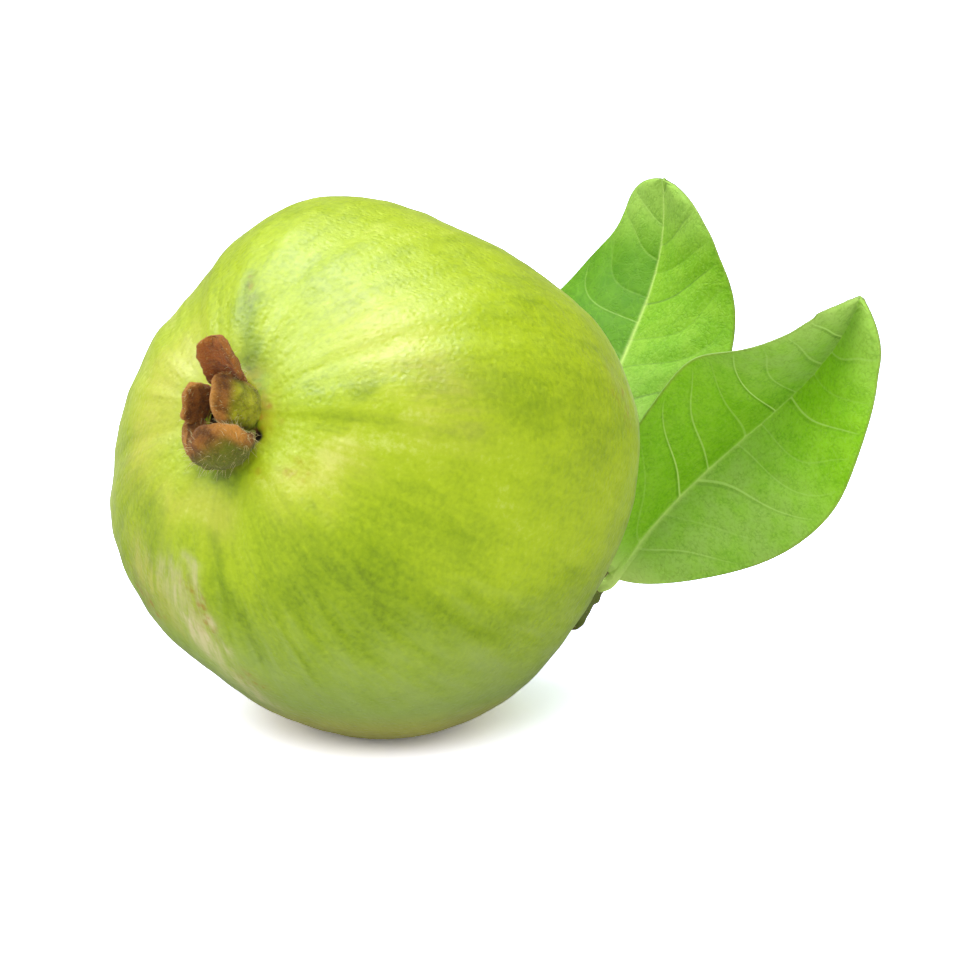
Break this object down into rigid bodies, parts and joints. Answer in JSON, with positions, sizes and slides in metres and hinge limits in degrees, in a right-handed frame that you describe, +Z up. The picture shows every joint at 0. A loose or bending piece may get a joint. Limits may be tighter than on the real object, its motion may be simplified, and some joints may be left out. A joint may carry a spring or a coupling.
{
  "type": "guava fruit",
  "caption": "Whole green guava lying on its side on a small flat spot, with a dried calyx, a short stalk and twig, and leaves.",
  "frame": {"origin": "middle of the small flat spot that the fruit rests on, straight under the fruit's centre", "axes": "+Z up from the surface; the calyx end faces -Y and is raised 22.8 degrees; the stalk, twig and leaves are on the +Y side, and the side leaf leans to +X"},
  "size_m": [0.108, 0.1376, 0.0896],
  "materials": {
    "skin": "waxy fruit skin, yellow-green with soft lighter streaks",
    "dried_sepal": "dry, matt, brown, green towards the root",
    "bark": "thin matt bark, green and grey-brown",
    "leaf_blade": "satin leaf with paler veins"
  },
  "bodies": {
    "root": {"fruit": "skin", "calyx": "dried_sepal", "stem": "bark", "leaf_upper": "leaf_blade", "leaf_side": "leaf_blade"}
  },
  "joints": []
}
